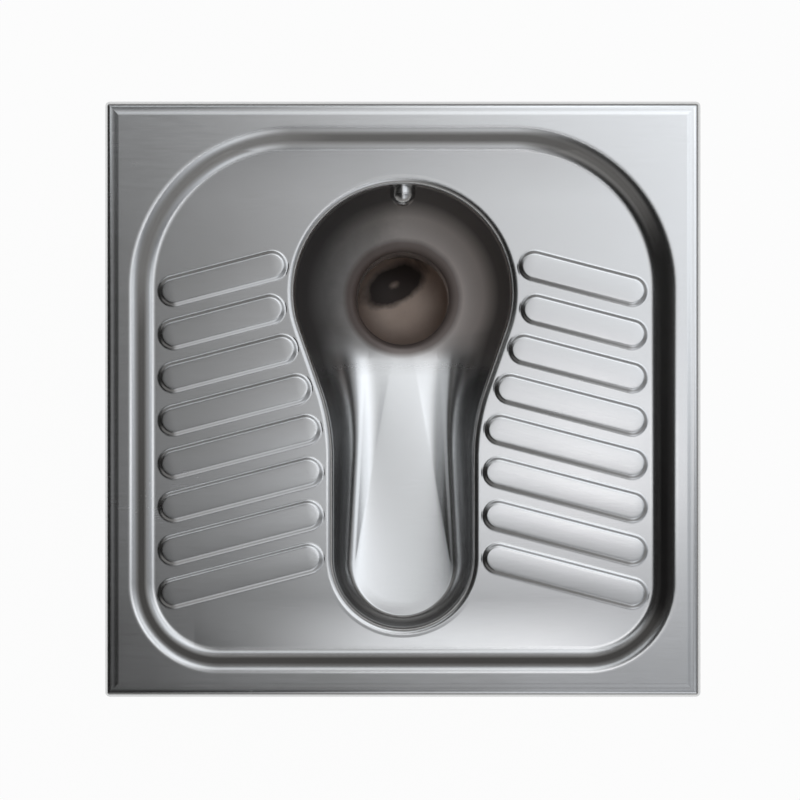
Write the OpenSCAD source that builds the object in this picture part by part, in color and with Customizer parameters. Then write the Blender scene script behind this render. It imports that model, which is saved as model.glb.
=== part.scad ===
// Square squat toilet pan in satin stainless steel, with its frame, levelling feet, flush pipe and trap.
// Millimetres. Z is up and the floor is at 0. +Y is the rear, where the flush water comes in. +X is right.

/* [Deck] */
// Side of the square deck
deck_w = 600; // [580:5:680]
// Height of the deck above the floor
deck_top = 385; // [380:5:440]
// Thickness of the pressed sheet
sheet_t = 1.5; // [1:0.25:2]
// Radius of the rolled outer edge
edge_r = 8; // [4:1:10]
// Depth of the folded skirt
skirt_h = 35; // [30:1:40]
// Width of the hem that is folded in under the skirt
hem_w = 12; // [8:1:14]

/* [Tread area] */
// Flat border between the deck's edge and the step
border_w = 25; // [20:1:28]
// Width of the S-shaped step, seen from above
step_w = 24; // [18:1:26]
// Fall of the step from the border to the tread area
step_h = 12; // [8:1:14]
// Outer corner radius of the step at the rear
rear_corner_r = 163; // [130:1:175]
// Outer corner radius of the step at the front
front_corner_r = 90; // [70:1:110]

/* [Foot treads] */
// Number of raised treads on each side
tread_count = 8; // [4:1:8]
// Distance from one tread to the next
tread_pitch = 43.6; // [38:0.2:44]
// Width of a tread
tread_w = 31; // [24:1:32]
// Height of a tread above the tread area
tread_h = 2; // [1.75:0.25:4]
// Angle at which the treads fall away towards the outside
tread_tilt = 14.5; // [8:0.5:18]
// Gap between the treads' outer tips and the foot of the step
tread_step_gap = 4; // [3:0.5:10]
// Place of the rearmost tread's outer end behind the deck's centre
tread_rear_y = 109.3; // [100:0.1:112]
// Gap between the keyhole and the treads' inner tips
tread_gap = 9; // [8.5:0.5:14]
// Plan width of a tread's sloping shoulder
tread_slope = 1.4; // [1:0.1:2]

/* [Bowl] */
// Radius of the round rear part of the keyhole
bowl_r = 111.5; // [108:0.5:116]
// Distance from the deck's rear edge to the keyhole's rear end
rear_land = 80.5; // [77:0.5:86]
// Half-width of the trough's mouth
trough_r = 72; // [68:1:76]
// Distance from the deck's front edge to the keyhole's front end
front_land = 67; // [66:1:78]
// Angle of the keyhole's tapering sides
taper = 19.3; // [17:0.1:24]
// Radius that blends the taper into the trough's straight sides
blend_r = 214; // [150:2:230]
// Radius of the rolled rim
rim_r = 7; // [5:0.5:8]
// Distance from the keyhole's line out to the start of the rolled rim
rim_out = 5; // [3.5:0.5:5]
// Depth of the drain's lip below the deck
drain_depth = 118; // [110:1:120]
// Depth of the trough's floor at its front end
front_depth = 55; // [45:1:65]
// Half-width of the trough's floor at its front end
floor_r = 50; // [46:1:56]
// How far the centre of the floor's round end lies before the trough's own
floor_ahead = 11; // [0:1:13]
// How far the trough's floor sags below a straight line
floor_sag = 6; // [0:0.5:8]
// Radius of the drain's lip
lip_r = 57; // [56:0.5:59]

/* [Waste] */
// Outer radius of the spigot under the drain
spigot_r = 51; // [50:0.5:52]
// Length of the spigot
spigot_l = 52; // [46:1:54]
// Outer radius of the trap's pipe, which fits a 110 mm drain socket
pipe_r = 55; // [54:0.5:56]
// Wall of the trap's pipe
pipe_t = 2; // [1.5:0.25:2.5]
// Radius of the trap's U bend, to the middle of the pipe
bend_r = 62; // [60:1:64]
// Depth of water that seals the trap
water_seal = 50; // [46:1:52]
// Depth of the outlet pipe's middle below the deck
outlet_depth = 153; // [152:1:156]
// Radius of the outlet elbow, to the middle of the pipe
elbow_r = 60; // [58:1:62]
// Straight length of the outlet pipe
outlet_l = 90; // [70:1:92]
// Direction of the U bend from the drain, counted from the right
trap_dir = 140; // [130:1:150]
// Direction of the outlet pipe, counted from the right
outlet_dir = 180; // [170:1:185]
// Length of a socket
socket_l = 30; // [26:1:31]
// Height of a seal ring
seal_h = 10; // [8:1:12]
// Radius of the inspection eye's bore
eye_r = 30; // [26:1:31]
// Width of a clamp band
band_w = 12; // [8:1:13]
// Thickness of a clamp band
band_t = 2; // [1.5:0.25:2.5]

/* [Flush] */
// Outer radius of the flush pipe and its spreader
flush_r = 13; // [11:0.5:13]
// Depth of the flush pipe's middle below the deck
flush_depth = 38; // [36:1:39]
// How far the spreader sticks out into the bowl from the keyhole's line
flush_reach = 22; // [16:1:26]
// Radius of the cistern pipe that the cuff takes
cistern_r = 16; // [14:0.5:16]
// Wall of the rubber cuff
cuff_t = 5; // [3:0.5:5]
// Length of the cuff's socket for the cistern pipe
cuff_socket_l = 22; // [16:1:24]
// Length of the cuff on the flush pipe
cuff_grip_l = 22; // [16:1:24]

/* [Frame] */
// Side of the square corner posts
post_w = 30; // [26:1:32]
// Wall of the posts
post_t = 2; // [1.5:0.25:2.5]
// Height of the posts' lower ends above the floor
post_foot = 72; // [66:1:80]
// Side of the square frame rails
rail_w = 20; // [16:1:20]
// Depth of the rails' middle below the deck
rail_depth = 75; // [74:1:76]
// Width of the stiffeners' web under the treads
hat_w = 40; // [30:1:44]
// Height of the stiffeners
hat_h = 22; // [16:1:26]
// Place of the stiffeners' middle between the bowl and the step, as a share
hat_share = 0.5; // [0.47:0.01:0.53]

/* [Levelling feet] */
// Radius of the foot's screw
stem_r = 6; // [5:0.5:6]
// Length of the screw above the plate
stem_l = 118; // [105:1:125]
// Radius of the foot's plate
plate_r = 29; // [26:1:29]
// Thickness of the rubber sole
sole_t = 4; // [3:0.5:6]
// Radius of the floor bolt's hole in the plate
bolt_hole_r = 4.5; // [3.5:0.5:4.5]
// Distance from the screw to the floor bolt's hole
bolt_hole_x = 21.5; // [20:0.5:22]

/* [Hidden] */
$fn = 64;

STEEL = [0.72, 0.73, 0.74];
BRIGHT_STEEL = [0.80, 0.81, 0.82];
ZINC = [0.66, 0.68, 0.70];
RUBBER = [0.09, 0.09, 0.10];
BITUMEN = [0.20, 0.19, 0.18];

eps = 0.5;              // how far a cut runs past the face it starts from
run_gap = 0.08;         // running clearance between a screw and its thread
soft_gap = 0.3;         // clearance between a turning pipe and its seal
lap = 1;                // overlap of the step's flat edges with the plates
arc_step = 7.5;         // degrees between the points of an outline's arc

half_w = deck_w / 2;
recess_w = half_w - border_w;
floor_z = -step_h;
seam_w = 3;             // flat strip of the bowl's sheet outside its rolled rim

// --- Outlines ----------------------------------------------------------------------------------------

function dir(a) = [cos(a), sin(a)];

function arc(centre, r, from, to, steps) =
    [for (i = [0:steps]) centre + r * dir(from + (to - from) * i / steps)];

// The step's line, moved inwards by an inset
function recess_outline(inset) =
    let (
        rear = recess_w - rear_corner_r,
        front = recess_w - front_corner_r,
        n = 90 / arc_step
    )
    concat(
        arc([rear, rear], rear_corner_r - inset, 0, 90, n),
        arc([-rear, rear], rear_corner_r - inset, 90, 180, n),
        arc([-front, -front], front_corner_r - inset, 180, 270, n),
        arc([front, -front], front_corner_r - inset, 270, 360, n)
    );

// The keyhole's right half from the rear to the front: each point comes with the angle of its outward normal
bowl_y = deck_w / 2 - rear_land - bowl_r;
trough_y = deck_w / 2 - front_land - trough_r;
floor_y = trough_y + floor_ahead;
bowl_centre = [0, bowl_y];
trough_centre = [0, -trough_y];
blend_x = trough_r + blend_r;
blend_y = bowl_y - blend_r * sin(taper)
    + ((blend_x - blend_r * cos(taper)) * cos(taper) - bowl_r) / sin(taper);
taper_start = bowl_centre + bowl_r * dir(-taper);
taper_end = [blend_x, blend_y] - blend_r * dir(-taper);

function between(a, b, t) = a + (b - a) * t;

rear_steps = 20;
taper_steps = 4;
blend_steps = 5;
side_steps = 5;
front_steps = 12;

half_keyhole = concat(
    [for (i = [0:rear_steps]) let (a = between(90, -taper, i / rear_steps))
        [bowl_centre + bowl_r * dir(a), a]],
    [for (i = [1:taper_steps]) [between(taper_start, taper_end, i / taper_steps), -taper]],
    [for (i = [1:blend_steps]) let (a = between(-taper, 0, i / blend_steps))
        [[blend_x, blend_y] - blend_r * dir(a), a]],
    [for (i = [1:side_steps]) [[trough_r, between(blend_y, -trough_y, i / side_steps)], 0]],
    [for (i = [1:front_steps]) let (a = between(0, -90, i / front_steps))
        [trough_centre + trough_r * dir(a), a]]
);

function mirrored(half) =
    concat(half, [for (i = [len(half) - 2:-1:1]) [-half[i][0], half[i][1]]]);

// The whole keyhole, moved inwards by an inset
function keyhole(inset) = mirrored([for (k = half_keyhole) k[0] - inset * dir(k[1])]);

// Half-width of the keyhole at a place behind the deck's centre
function mouth_half(y) =
    y > taper_start[1] ? sqrt(max(0, bowl_r * bowl_r - (y - bowl_y) * (y - bowl_y)))
    : y > taper_end[1] ? between(taper_end[0], taper_start[0],
        (y - taper_end[1]) / (taper_start[1] - taper_end[1]))
    : y > blend_y ? blend_x - sqrt(blend_r * blend_r - (y - blend_y) * (y - blend_y))
    : trough_r;

// --- Bowl --------------------------------------------------------------------------------------------

drain_roll = lip_r - (spigot_r - sheet_t);
spigot_top = -drain_depth - drain_roll - seam_w;
wall_inset = rim_r - rim_out;
wall_top = floor_z - rim_r;
floor_fall = (drain_depth - front_depth) / (bowl_y - lip_r + floor_y + floor_r);
dish_r = lip_r + seam_w;     // where the dish's wall meets the flat ring round the drain
wall_run = [0.02, 0.42];     // middle controls of the wall's curve, as shares of its run
wall_fall = [0.6, 1];        // the same as shares of its fall
chute_angle = 50;            // the floor leaves the drain's ring at this angle below the right
rim_rings = 4;
wall_rings = 8;
floor_rings = 5;

function floor_depth(y) = min(drain_depth, front_depth + floor_fall * (y + floor_y + floor_r));

// Edge of the trough's floor and of the drain's ring, point for point beside the keyhole
chute_start = bowl_centre + dish_r * dir(-chute_angle);

function floor_point(k) =
    k[0][1] >= taper_start[1] - eps
    ? bowl_centre + dish_r * dir(k[1] >= 0 ? k[1] : k[1] * chute_angle / taper)
    : k[0][1] <= -trough_y ? [0, -floor_y] + floor_r * dir(k[1])
    : between(chute_start, [floor_r, -floor_y], (taper_start[1] - k[0][1]) / (taper_start[1] + trough_y));

half_floor = [for (k = half_keyhole) floor_point(k)];
half_wall = [for (k = half_keyhole) k[0] - wall_inset * dir(k[1])];
half_lip = [for (p = half_floor) let (a = atan2(p[1] - bowl_y, p[0])) dir(a)];

// Cubic curve from 0 to 1 with two middle control values
function bend_curve(q, middle) =
    3 * q * (1 - q) * (1 - q) * middle[0] + 3 * q * q * (1 - q) * middle[1] + q * q * q;

function with_depth(points, z) = [for (p = points) [p[0], p[1], z]];

function wall_ring(q) = [for (i = [0:len(half_keyhole) - 1])
    let (p = between(half_wall[i], half_floor[i], bend_curve(q, wall_run)))
    [p[0], p[1], between(wall_top, -floor_depth(half_floor[i][1]), bend_curve(q, wall_fall))]];

function floor_ring(t) = [for (i = [0:len(half_floor) - 1])
    let (p = between(half_floor[i], bowl_centre + lip_r * half_lip[i], t))
    [p[0], p[1], -floor_depth(p[1]) - floor_sag * sin(180 * t) * (drain_depth - floor_depth(p[1]))
        / (drain_depth - front_depth)]];

function lip_ring(r, z) = [for (d = half_lip) [r * d[0], bowl_y + r * d[1], z]];

bowl_rings = [for (half = concat(
    [with_depth([for (k = half_keyhole) k[0] + (rim_out + seam_w) * dir(k[1])], floor_z)],
    [for (i = [0:rim_rings]) let (a = 90 * i / rim_rings)
        with_depth([for (k = half_keyhole) k[0] - (rim_r * sin(a) - rim_out) * dir(k[1])],
            floor_z - rim_r * (1 - cos(a)))],
    [for (i = [1:wall_rings]) wall_ring(i / wall_rings)],
    [for (i = [1:floor_rings]) floor_ring(i / floor_rings)],
    [for (i = [1:rim_rings]) let (a = 90 * i / rim_rings)
        lip_ring(lip_r - drain_roll * sin(a), -drain_depth - drain_roll * (1 - cos(a)))],
    [lip_ring(lip_r - drain_roll, spigot_top)]
)) [for (p = concat(half, [for (i = [len(half) - 2:-1:1]) [-half[i][0], half[i][1], half[i][2]]])) p]];

// The underside: each point moved down its own surface normal by the sheet's thickness
function underside(rings, t) =
    let (last = len(rings) - 1, n = len(rings[0]))
    [for (i = [0:last]) [for (j = [0:n - 1])
        let (
            inwards = rings[min(i + 1, last)][j] - rings[max(i - 1, 0)][j],
            along = rings[i][(j + 1) % n] - rings[i][(j + n - 1) % n],
            up = cross(inwards, along)
        )
        rings[i][j] - t * up / norm(up)]];

// Two triangles for each cell of a closed band of rings
function cell(a, b, c, d) = [[a, b, c], [a, c, d]];

module sheet_shell(rings, t) {
    lower = underside(rings, t);
    m = len(rings);
    n = len(rings[0]);
    points = [for (side = [rings, lower]) for (ring = side) for (p = ring) p];
    faces = [for (j = [0:n - 1]) let (k = (j + 1) % n) each concat(
        [for (i = [0:m - 2]) each cell(i * n + j, i * n + k, (i + 1) * n + k, (i + 1) * n + j)],
        [for (i = [m:2 * m - 2]) each cell(i * n + j, (i + 1) * n + j, (i + 1) * n + k, i * n + k)],
        cell(j, m * n + j, m * n + k, k),
        cell((m - 1) * n + j, (m - 1) * n + k, (2 * m - 1) * n + k, (2 * m - 1) * n + j)
    )];
    polyhedron(points = points, faces = faces, convexity = 6);
}

module at_deck() {
    translate([0, 0, deck_top]) children();
}

module bowl() {
    color(STEEL) at_deck() difference() {
        sheet_shell(bowl_rings, sheet_t);
        translate([0, bowl_y, -flush_depth]) rotate([-90, 0, 0]) cylinder(r = flush_r, h = half_w - bowl_y);
    }
}

// --- Deck --------------------------------------------------------------------------------------------

edge_steps = 6;

function edge_profile(w, r, top, bottom) = concat(
    [[-w, bottom]], arc([r - w, top - r], r, 180, 90, edge_steps),
    arc([w - r, top - r], r, 90, 0, edge_steps), [[w, bottom]]
);

// Square block whose four top edges are rolled and meet in mitres
module edge_block(w, r, top, bottom) {
    intersection() {
        rotate([90, 0, 0]) linear_extrude(2 * w, center = true) polygon(edge_profile(w, r, top, bottom));
        rotate([90, 0, 90]) linear_extrude(2 * w, center = true) polygon(edge_profile(w, r, top, bottom));
    }
}

step_steps = 8;

function step_fall(s) = floor_z * (1 - cos(180 * s)) / 2;

function step_normal(s) =
    let (slope = floor_z * 90 * PI / 180 * sin(180 * s) / step_w, n = norm([1, slope]))
    [-slope, 1] / n;

// Section of the step as [inset, height], with flat edges that lap the border and the floor
step_top = concat(
    [[-2 * lap, 0]],
    [for (i = [0:step_steps]) [step_w * i / step_steps, step_fall(i / step_steps)]],
    [[step_w + 2 * lap, floor_z]]
);
step_under = concat(
    [[-2 * lap, -sheet_t]],
    [for (i = [0:step_steps]) [step_w * i / step_steps, step_fall(i / step_steps)]
        - sheet_t * step_normal(i / step_steps)],
    [[step_w + 2 * lap, floor_z - sheet_t]]
);
step_section = concat(step_top, [for (i = [len(step_under) - 1:-1:0]) step_under[i]]);

// One corner of the step and the straight run that follows it, counted anticlockwise
module step_side(turn, r, next_r) {
    rotate([0, 0, turn]) {
        translate([recess_w - r, recess_w - r, 0]) rotate_extrude(angle = 90, $fn = 96)
            polygon([for (p = step_section) [r - p[0], p[1]]]);
        translate([recess_w - r, recess_w, 0]) rotate([90, 0, -90])
            linear_extrude(2 * recess_w - r - next_r) polygon(step_section);
    }
}

stadium_step = 15;

// Flat outline of a tread: its inner end follows the keyhole
tread_r = tread_w / 2;
tread_outer_x = recess_w - step_w - tread_step_gap - tread_r;

function tread_inner_x(y, x, rounds) =
    rounds == 0 ? x
    : tread_inner_x(y,
        mouth_half(y + (tread_outer_x - x) * tan(tread_tilt)) + tread_gap + tread_r, rounds - 1);

function tread_outline(i, inset) =
    let (
        y = tread_rear_y - i * tread_pitch,
        x = tread_inner_x(y, mouth_half(y) + tread_r, 5),
        inner = [x, y + (tread_outer_x - x) * tan(tread_tilt)],
        r = tread_r - inset
    )
    concat(
        arc([tread_outer_x, y], r, -90 - tread_tilt, 90 - tread_tilt, 180 / stadium_step),
        arc(inner, r, 90 - tread_tilt, 270 - tread_tilt, 180 / stadium_step)
    );

module treads(inset, bottom, top) {
    for (i = [0:tread_count - 1], side = [0, 1])
        mirror([side, 0, 0]) translate([0, 0, bottom])
            linear_extrude(top - bottom) polygon(tread_outline(i, inset));
}

cuff_notch = 4;         // room round the cuff where it passes through the skirt

module border_plate() {
    difference() {
        edge_block(half_w, edge_r, 0, -skirt_h);
        edge_block(half_w - sheet_t, edge_r - sheet_t, -sheet_t, sheet_t - skirt_h);
        translate([0, 0, -skirt_h - eps]) linear_extrude(skirt_h / 2)
            square(2 * (half_w - sheet_t - hem_w), center = true);
        translate([0, 0, -2 * sheet_t]) linear_extrude(4 * sheet_t) polygon(recess_outline(-lap));
        translate([0, half_w - 2 * hem_w, -flush_depth]) rotate([-90, 0, 0])
            cylinder(r = cistern_r + cuff_t + cuff_notch, h = 3 * hem_w);
    }
}

module deck() {
    color(STEEL) at_deck() difference() {
        union() {
            border_plate();
            step_side(0, rear_corner_r, rear_corner_r);
            step_side(90, rear_corner_r, front_corner_r);
            step_side(180, front_corner_r, front_corner_r);
            step_side(270, front_corner_r, rear_corner_r);
            translate([0, 0, floor_z - sheet_t]) linear_extrude(sheet_t) difference() {
                polygon(recess_outline(step_w + lap));
                polygon(keyhole(-rim_out - seam_w));
            }
            treads(0, floor_z - sheet_t / 2, floor_z + tread_h / 2);
            treads(tread_slope, floor_z, floor_z + tread_h);
        }
        treads(tread_slope + sheet_t, floor_z - 2 * sheet_t, floor_z + tread_h - sheet_t);
    }
}

// --- Waste -------------------------------------------------------------------------------------------

bore_r = pipe_r - pipe_t;
seal_room = 6.5;                         // radial room for the trap's seal
socket_in = spigot_r + seal_room;
socket_out = socket_in + pipe_t;
socket_drop = 6;                         // how far the trap's socket starts below the top of the spigot
socket_top = spigot_top - socket_drop;
shoulder_z = socket_top - socket_l;
outlet_z = -outlet_depth;
elbow_z = outlet_z - elbow_r;            // where the outlet elbow starts to turn
bend_z = outlet_z - bore_r - water_seal - bore_r + bend_r;   // middle of the U bend
leg_gap = 3;                             // gap between the rising leg's end and the elbow's shoulder
elbow_seal_room = 5;
elbow_socket_in = pipe_r + elbow_seal_room;
elbow_socket_out = elbow_socket_in + pipe_t;
eye_z = (shoulder_z + bend_z) / 2;
eye_t = 4;                               // wall of the inspection eye
eye_l = 20;                              // how far the eye stands out from the pipe
eye_end = pipe_r + eye_l;
gasket_t = 2;
cap_plug = 12;
cap_t = 8;
cap_lip = 3;                             // how far the cap's flange reaches past the gasket
grip_h = 10;
grip_w = 8;

module ring(r_out, r_in, top, bottom) {
    translate([0, 0, bottom]) difference() {
        cylinder(r = r_out, h = top - bottom);
        translate([0, 0, -eps]) cylinder(r = r_in, h = top - bottom + 2 * eps);
    }
}

module outlet_spigot() {
    color(BRIGHT_STEEL) at_deck() translate([0, bowl_y, 0])
        ring(spigot_r, spigot_r - sheet_t, spigot_top, spigot_top - spigot_l);
}

// Frame of the trap: its inlet leg is on the drain's axis and the U bend lies towards +Y
module at_trap() {
    at_deck() translate([0, bowl_y, 0]) rotate([0, 0, trap_dir - 90]) children();
}

// Frame of the outlet elbow: its lower leg is on the U bend's rising leg, and the outlet points along +Y
module at_elbow() {
    at_deck() translate(concat(bowl_centre + 2 * bend_r * dir(trap_dir), [0]))
        rotate([0, 0, outlet_dir - 90]) children();
}

module trap_form(r, socket_r, socket_bottom, over) {
    translate([0, 0, socket_bottom]) cylinder(r = socket_r, h = socket_top - socket_bottom + over);
    translate([0, 0, bend_z]) cylinder(r = r, h = socket_bottom - bend_z);
    translate([0, bend_r, bend_z]) rotate([-90, 0, 90]) rotate_extrude(angle = 180)
        translate([bend_r, 0]) circle(r);
    translate([0, 2 * bend_r, bend_z]) cylinder(r = r, h = elbow_z - leg_gap - bend_z + over);
}

module trap_bend() {
    color(STEEL) at_trap() difference() {
        union() {
            trap_form(pipe_r, socket_out, shoulder_z - pipe_t, 0);
            translate([0, 0, eye_z]) rotate([90, 0, 0]) cylinder(r = eye_r + eye_t, h = eye_end);
        }
        trap_form(bore_r, socket_in, shoulder_z, eps);
        translate([0, 0, eye_z]) rotate([90, 0, 0]) cylinder(r = eye_r, h = eye_end + eps);
    }
}

seal_middle = socket_top - socket_l / 2;

module trap_seal() {
    color(RUBBER) at_trap()
        ring(socket_in, spigot_r + soft_gap, seal_middle + seal_h / 2, seal_middle - seal_h / 2);
}

ear_w = 16;
ear_gap = 8;
band_bolt_r = 2.5;
bolt_head_r = 4.6;
bolt_head_h = 4;

// Split band with two ears that point along -Y
module clamp_band(r, middle) {
    translate([0, 0, middle - band_w / 2]) difference() {
        union() {
            cylinder(r = r + band_t, h = band_w);
            for (side = [-1, 1])
                translate([side * (ear_gap + band_t) / 2 - band_t / 2, -r - ear_w, 0])
                    cube([band_t, ear_w, band_w]);
        }
        translate([0, 0, -eps]) cylinder(r = r, h = band_w + 2 * eps);
        translate([-ear_gap / 2, -r - ear_w - eps, -eps])
            cube([ear_gap, ear_w + 2 * eps, band_w + 2 * eps]);
        translate([0, -r - band_t - ear_w / 2, band_w / 2]) rotate([0, 90, 0])
            cylinder(r = band_bolt_r, h = 4 * ear_gap, center = true);
    }
}

module clamp_bolt(r, middle) {
    translate([0, -r - band_t - ear_w / 2, middle]) rotate([0, 90, 0]) {
        translate([0, 0, -ear_gap - 2 * band_t]) cylinder(r = band_bolt_r, h = 2 * ear_gap + 4 * band_t);
        for (side = [-1, 1]) translate([0, 0, side * (ear_gap + 2 * band_t + bolt_head_h) / 2])
            cylinder(r = bolt_head_r, h = bolt_head_h, center = true, $fn = 6);
    }
}

module trap_clamp() {
    color(BRIGHT_STEEL) at_trap() clamp_band(socket_out, seal_middle);
}

module trap_clamp_bolt() {
    color(ZINC) at_trap() clamp_bolt(socket_out, seal_middle);
}

module cleanout_gasket() {
    color(RUBBER) at_trap() translate([0, -eye_end, eye_z]) rotate([90, 0, 0])
        ring(eye_r + eye_t, eye_r, gasket_t, 0);
}

// Threaded cup with a flange on the gasket and a bar to turn it by
module cleanout_cap() {
    color(BRIGHT_STEEL) at_trap() translate([0, -eye_end, eye_z]) rotate([90, 0, 0]) {
        difference() {
            translate([0, 0, -cap_plug]) cylinder(r = eye_r - run_gap, h = cap_plug + gasket_t + cap_t);
            translate([0, 0, -cap_plug - eps]) cylinder(r = eye_r - eye_t, h = cap_plug + gasket_t + eps);
        }
        translate([0, 0, gasket_t]) cylinder(r = eye_r + eye_t + cap_lip, h = cap_t);
        translate([0, 0, gasket_t + cap_t + grip_h / 2 - eps])
            cube([2 * eye_r - grip_w, grip_w, grip_h + 2 * eps], center = true);
    }
}

module elbow_form(r, socket_r, over) {
    translate([0, 0, elbow_z - socket_l - over]) cylinder(r = socket_r, h = socket_l + over);
    translate([0, elbow_r, elbow_z]) rotate([90, 0, -90]) rotate_extrude(angle = 90)
        translate([elbow_r, 0]) circle(r);
    translate([0, elbow_r, outlet_z]) rotate([-90, 0, 0]) cylinder(r = r, h = outlet_l + over);
}

module outlet_elbow() {
    color(STEEL) at_elbow() difference() {
        union() {
            elbow_form(pipe_r, elbow_socket_out, 0);
            translate([0, 0, elbow_z - socket_l]) cylinder(r = elbow_socket_out, h = socket_l + pipe_t);
        }
        elbow_form(bore_r, elbow_socket_in, eps);
    }
}

elbow_band_drop = 4;                     // how far the elbow's seal and band sit below its socket's middle
elbow_middle = elbow_z - socket_l / 2 - elbow_band_drop;

module elbow_seal() {
    color(RUBBER) at_elbow()
        ring(elbow_socket_in, pipe_r + soft_gap, elbow_middle + seal_h / 2, elbow_middle - seal_h / 2);
}

module elbow_clamp() {
    color(BRIGHT_STEEL) at_elbow() rotate([0, 0, 180]) clamp_band(elbow_socket_out, elbow_middle);
}

module elbow_clamp_bolt() {
    color(ZINC) at_elbow() rotate([0, 0, 180]) clamp_bolt(elbow_socket_out, elbow_middle);
}

// --- Flush water -------------------------------------------------------------------------------------

spreader_tip = bowl_y + bowl_r - flush_reach;
flush_mouth = spreader_tip + flush_r;         // where the straight pipe meets the round nose
cuff_setback = 4;                             // how far the cuff's mouth stays inside the deck's edge
cuff_end = half_w - cuff_setback;
cuff_web = 2;                                 // rubber stop between the flush pipe's end and the socket
flush_tail = cuff_end - cuff_socket_l - cuff_web;
bracket_t = 3;
bracket_share = 0.5;                          // place between the bowl's seam and the step
bracket_y = between(bowl_y + bowl_r + rim_out + seam_w, recess_w - step_w, bracket_share) - bracket_t / 2;
bracket_margin = 7;                           // sheet beside the flush pipe
bracket_foot = 5;                             // sheet below the flush pipe
slot_h = 4;

// Frame of the flush pipe: its axis runs along +Z, away from the bowl
module at_flush(y) {
    at_deck() translate([0, y, -flush_depth]) rotate([-90, 0, 0]) children();
}

module flush_pipe() {
    color(BRIGHT_STEEL) at_flush(flush_mouth)
        ring(flush_r, flush_r - sheet_t, flush_tail - flush_mouth, 0);
}

// Round nose with one slot on each side and one below, so that the water sheets round the bowl
module flush_spreader() {
    color(BRIGHT_STEEL) at_flush(flush_mouth) difference() {
        sphere(r = flush_r);
        sphere(r = flush_r - sheet_t);
        translate([0, 0, flush_r]) cube(2 * flush_r + eps, center = true);
        translate([0, flush_r / 2, -flush_r / 2]) cube([3 * flush_r, slot_h, slot_h], center = true);
        translate([0, flush_r, -flush_r / 2]) cube([slot_h, flush_r, slot_h], center = true);
    }
}

module flush_pipe_bracket() {
    color(STEEL) at_deck() translate([0, bracket_y, 0]) difference() {
        translate([-flush_r - bracket_margin, 0, -flush_depth - flush_r - bracket_foot])
            cube([2 * (flush_r + bracket_margin), bracket_t,
                flush_depth + flush_r + bracket_foot + floor_z - sheet_t]);
        translate([0, -eps, -flush_depth])
            rotate([-90, 0, 0]) cylinder(r = flush_r, h = bracket_t + 2 * eps);
    }
}

module inlet_cuff() {
    color(RUBBER) at_flush(cuff_end) difference() {
        union() {
            translate([0, 0, -cuff_socket_l - cuff_web])
                cylinder(r = cistern_r + cuff_t, h = cuff_socket_l + cuff_web);
            translate([0, 0, flush_tail - cuff_end - cuff_grip_l])
                cylinder(r = flush_r + cuff_t, h = cuff_grip_l + eps);
        }
        translate([0, 0, -cuff_socket_l]) cylinder(r = cistern_r, h = cuff_socket_l + eps);
        translate([0, 0, flush_tail - cuff_end - cuff_grip_l - eps])
            cylinder(r = flush_r, h = cuff_grip_l + cuff_web + 2 * eps);
    }
}

cuff_band_w = 9;
cuff_band_t = 1;
cuff_band_z = flush_tail - cuff_end - cuff_grip_l / 2 - cuff_band_w / 2;
cuff_out = flush_r + cuff_t;
worm_w = 14;                                  // housing of the clip's screw
worm_h = 6;
worm_r = 1.8;
worm_head_r = 3.2;
worm_head_h = 4;

module cuff_clamp() {
    color(BRIGHT_STEEL) at_flush(cuff_end) translate([0, 0, cuff_band_z]) difference() {
        union() {
            cylinder(r = cuff_out + cuff_band_t, h = cuff_band_w);
            translate([-worm_w / 2, cuff_out - cuff_band_t, 0])
                cube([worm_w, worm_h + cuff_band_t, cuff_band_w]);
        }
        translate([0, 0, -eps]) cylinder(r = cuff_out, h = cuff_band_w + 2 * eps);
        translate([0, cuff_out + worm_h / 2, cuff_band_w / 2]) rotate([0, 90, 0])
            cylinder(r = worm_r, h = 2 * worm_w, center = true);
    }
}

module cuff_clamp_screw() {
    screw_z = cuff_band_z + cuff_band_w / 2;
    color(ZINC) at_flush(cuff_end) translate([worm_w / 2, cuff_out + worm_h / 2, screw_z])
        rotate([0, 90, 0]) {
            translate([0, 0, -worm_w - eps]) cylinder(r = worm_r, h = worm_w + eps);
            cylinder(r = worm_head_r, h = worm_head_h, $fn = 6);
        }
}

// --- Stiffening and fixing ---------------------------------------------------------------------------

pad_t = 3;
pad_gap = 4;
bowl_clear = rim_out + seam_w + sheet_t + pad_gap;
hat_flange = 12;
hat_x = between(bowl_r + bowl_clear, recess_w - step_w, hat_share);
hat_reach = hat_x + hat_w / 2 + hat_flange;
hat_margin = 8;
hat_top = floor_z - sheet_t;

// How far the flat floor reaches beside a round corner of the step
function floor_reach(corner_r, x) =
    let (c = recess_w - corner_r, r = corner_r - step_w)
    c + sqrt(max(0, r * r - max(0, x - c) * max(0, x - c)));

hat_rear = floor_reach(rear_corner_r, hat_reach) - hat_margin;
hat_front = floor_reach(front_corner_r, hat_reach) - hat_margin;

module stiffener(side) {
    web = hat_w / 2;
    color(STEEL) at_deck() translate([side * hat_x, hat_rear, 0]) rotate([90, 0, 0])
        linear_extrude(hat_rear + hat_front) polygon([
            [-web - hat_flange, hat_top], [-web + sheet_t, hat_top],
            [-web + sheet_t, hat_top - hat_h + sheet_t],
            [web - sheet_t, hat_top - hat_h + sheet_t], [web - sheet_t, hat_top],
            [web + hat_flange, hat_top],
            [web + hat_flange, hat_top - sheet_t], [web, hat_top - sheet_t], [web, hat_top - hat_h],
            [-web, hat_top - hat_h], [-web, hat_top - sheet_t], [-web - hat_flange, hat_top - sheet_t]
        ]);
}

module left_stiffener() {
    stiffener(-1);
}

module right_stiffener() {
    stiffener(1);
}

front_pad_l = 156;
rear_pad_l = 132;
pad_outer = hat_x - hat_w / 2 - hat_flange - pad_gap;

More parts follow.
